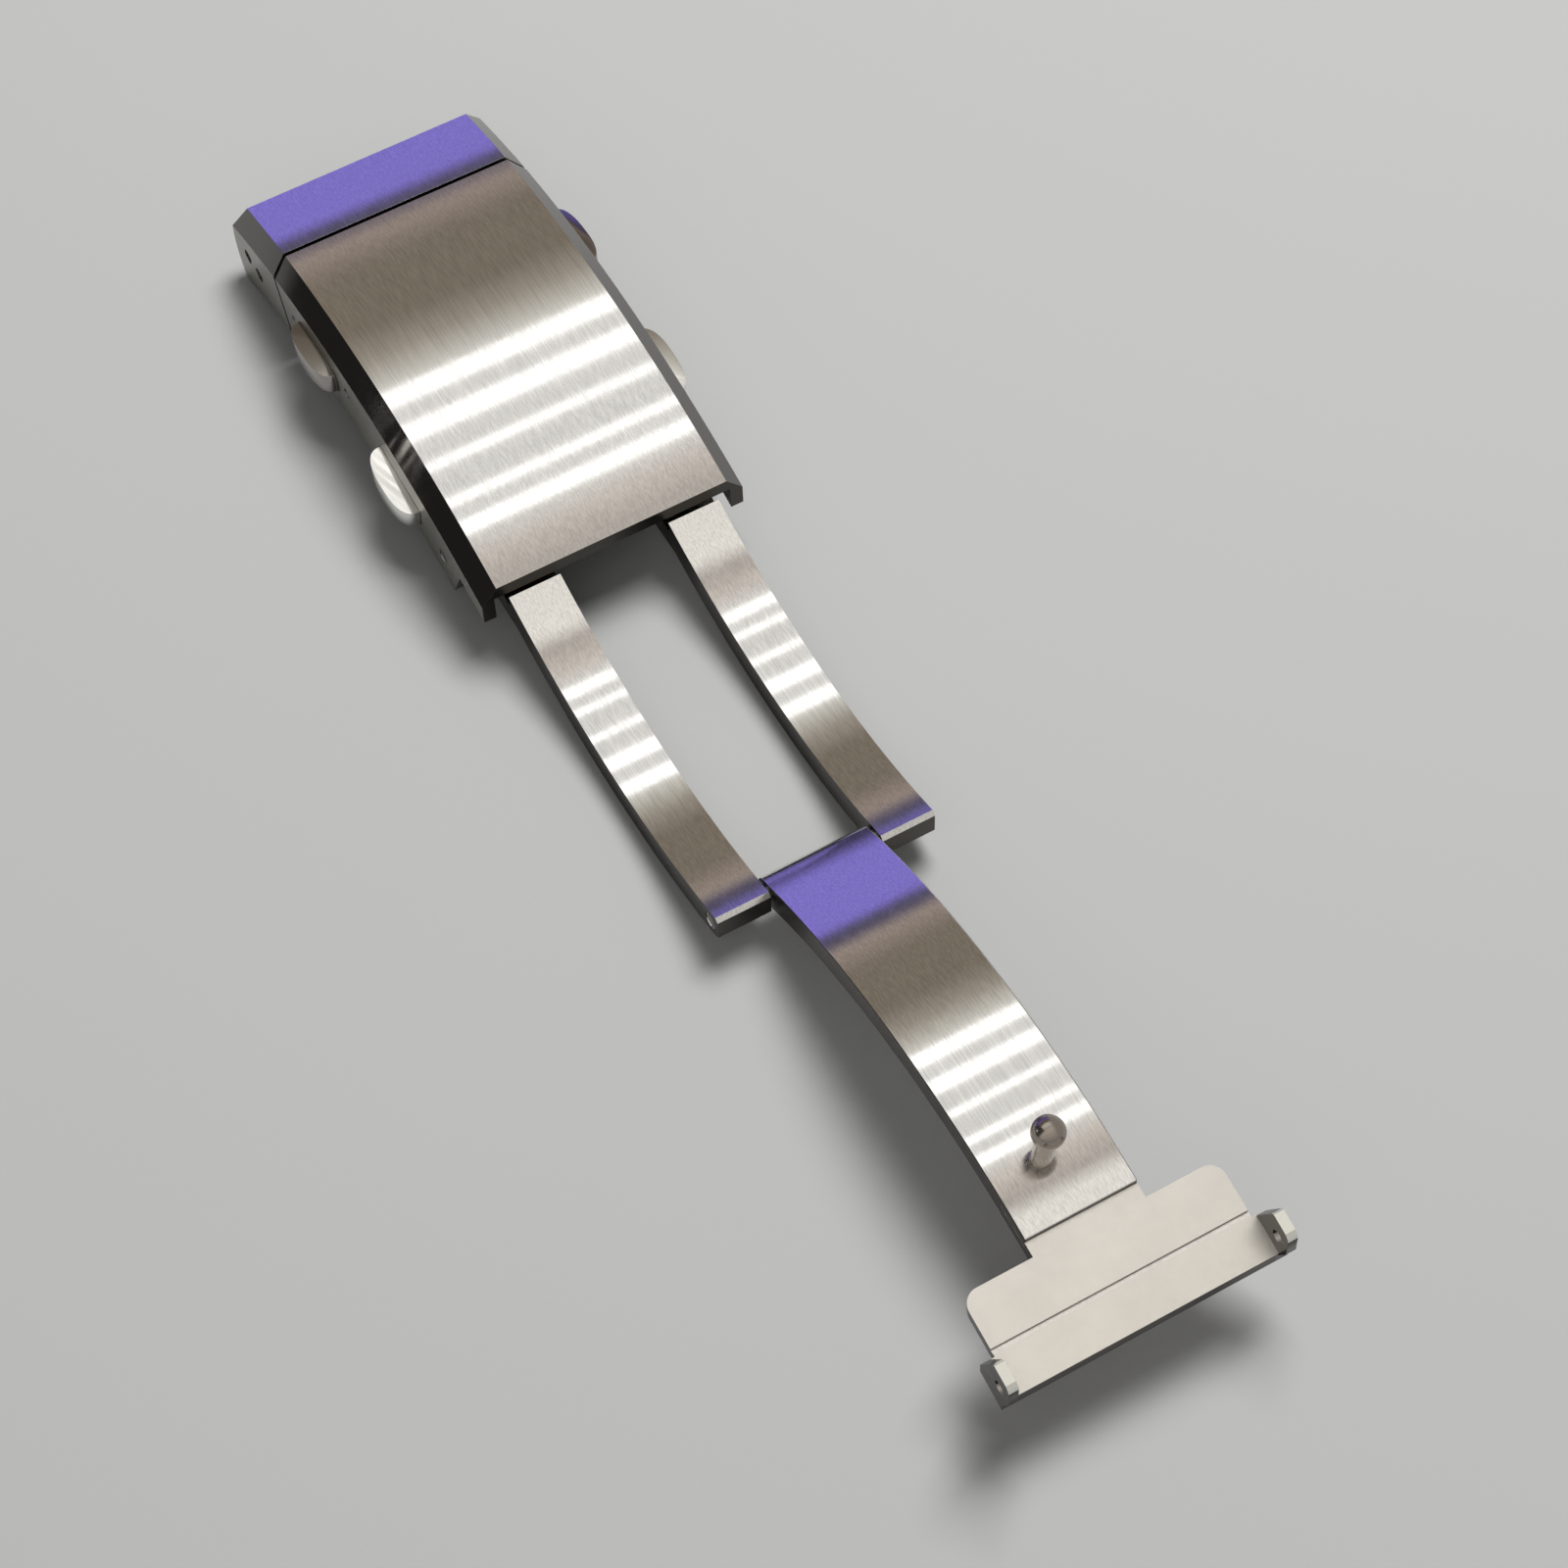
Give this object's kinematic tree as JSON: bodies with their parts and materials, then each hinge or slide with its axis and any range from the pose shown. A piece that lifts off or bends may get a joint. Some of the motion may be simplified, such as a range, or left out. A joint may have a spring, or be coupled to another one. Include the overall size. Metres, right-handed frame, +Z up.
{
  "type": "deployant watch clasp",
  "caption": "Folding deployant clasp for a metal watch bracelet, shown open: arched cover with side pushers, sliding end link, twin arms, curved blade with ball stud and T plate.",
  "frame": {"origin": "middle of the overall box in X and Y, on the table the open clasp rests on", "axes": "+X runs from the end link to the T plate, +Y across the clasp, +Z up, away from the table and towards the outside of the cover"},
  "size_m": [0.1074, 0.0228, 0.0128],
  "materials": {
    "brushed_steel": "brushed along the clasp, bevels polished",
    "satin_steel": "fine matt blasted",
    "polished_steel": "polished",
    "plain_steel": "as milled",
    "pin_steel": "turned",
    "spring_steel": "drawn"
  },
  "bodies": {
    "cover": {"cover_shell": "brushed_steel", "lock_housing": "plain_steel", "housing_pins": "pin_steel", "keeper_plate": "plain_steel", "keeper_screws": "pin_steel", "arm_hinge_pin": "polished_steel"},
    "end_link": {"end_link": "brushed_steel", "slide_plate": "plain_steel", "slide_screws": "pin_steel"},
    "lock_pusher_left": {"lock_pusher_left": "polished_steel", "lock_spring_left": "spring_steel"},
    "lock_pusher_right": {"lock_pusher_right": "polished_steel", "lock_spring_right": "spring_steel"},
    "adjust_pusher_left": {"adjust_pusher_left": "polished_steel", "adjust_spring_left": "spring_steel"},
    "adjust_pusher_right": {"adjust_pusher_right": "polished_steel", "adjust_spring_right": "spring_steel"},
    "arms": {"arm_frame": "brushed_steel", "blade_hinge_pin": "polished_steel"},
    "blade": {"blade": "brushed_steel", "locking_stud": "polished_steel", "t_plate": "satin_steel"}
  },
  "joints": [
    {"name": "arm_fold", "type": "hinge", "parent": "cover", "child": "arms", "pos_m": [-0.02004, 0, 0.00385], "axis": [0, 1, 0], "range_deg": [0, 166.4]},
    {"name": "blade_fold", "type": "hinge", "parent": "arms", "child": "blade", "pos_m": [0.01386, 0, 0.0029], "axis": [0, -1, 0], "range_deg": [0, 166.4]},
    {"name": "end_link_slide", "type": "slide", "parent": "cover", "child": "end_link", "axis": [-0.9903, 0, -0.1392], "range_m": [0, 0.005]},
    {"name": "lock_push_left", "type": "slide", "parent": "cover", "child": "lock_pusher_left", "axis": [0, 1, 0], "range_m": [0, 0.0007], "stiffness_N_per_m": 30, "springref_m": -0.01},
    {"name": "lock_push_right", "type": "slide", "parent": "cover", "child": "lock_pusher_right", "axis": [0, -1, 0], "range_m": [0, 0.0007], "stiffness_N_per_m": 30, "springref_m": -0.01},
    {"name": "adjust_push_left", "type": "slide", "parent": "cover", "child": "adjust_pusher_left", "axis": [0, 1, 0], "range_m": [0, 0.0007], "stiffness_N_per_m": 30, "springref_m": -0.01},
    {"name": "adjust_push_right", "type": "slide", "parent": "cover", "child": "adjust_pusher_right", "axis": [0, -1, 0], "range_m": [0, 0.0007], "stiffness_N_per_m": 30, "springref_m": -0.01}
  ],
  "couplings": [
    {"joint": "blade_fold", "follows": "arm_fold", "ratio": 1}
  ]
}
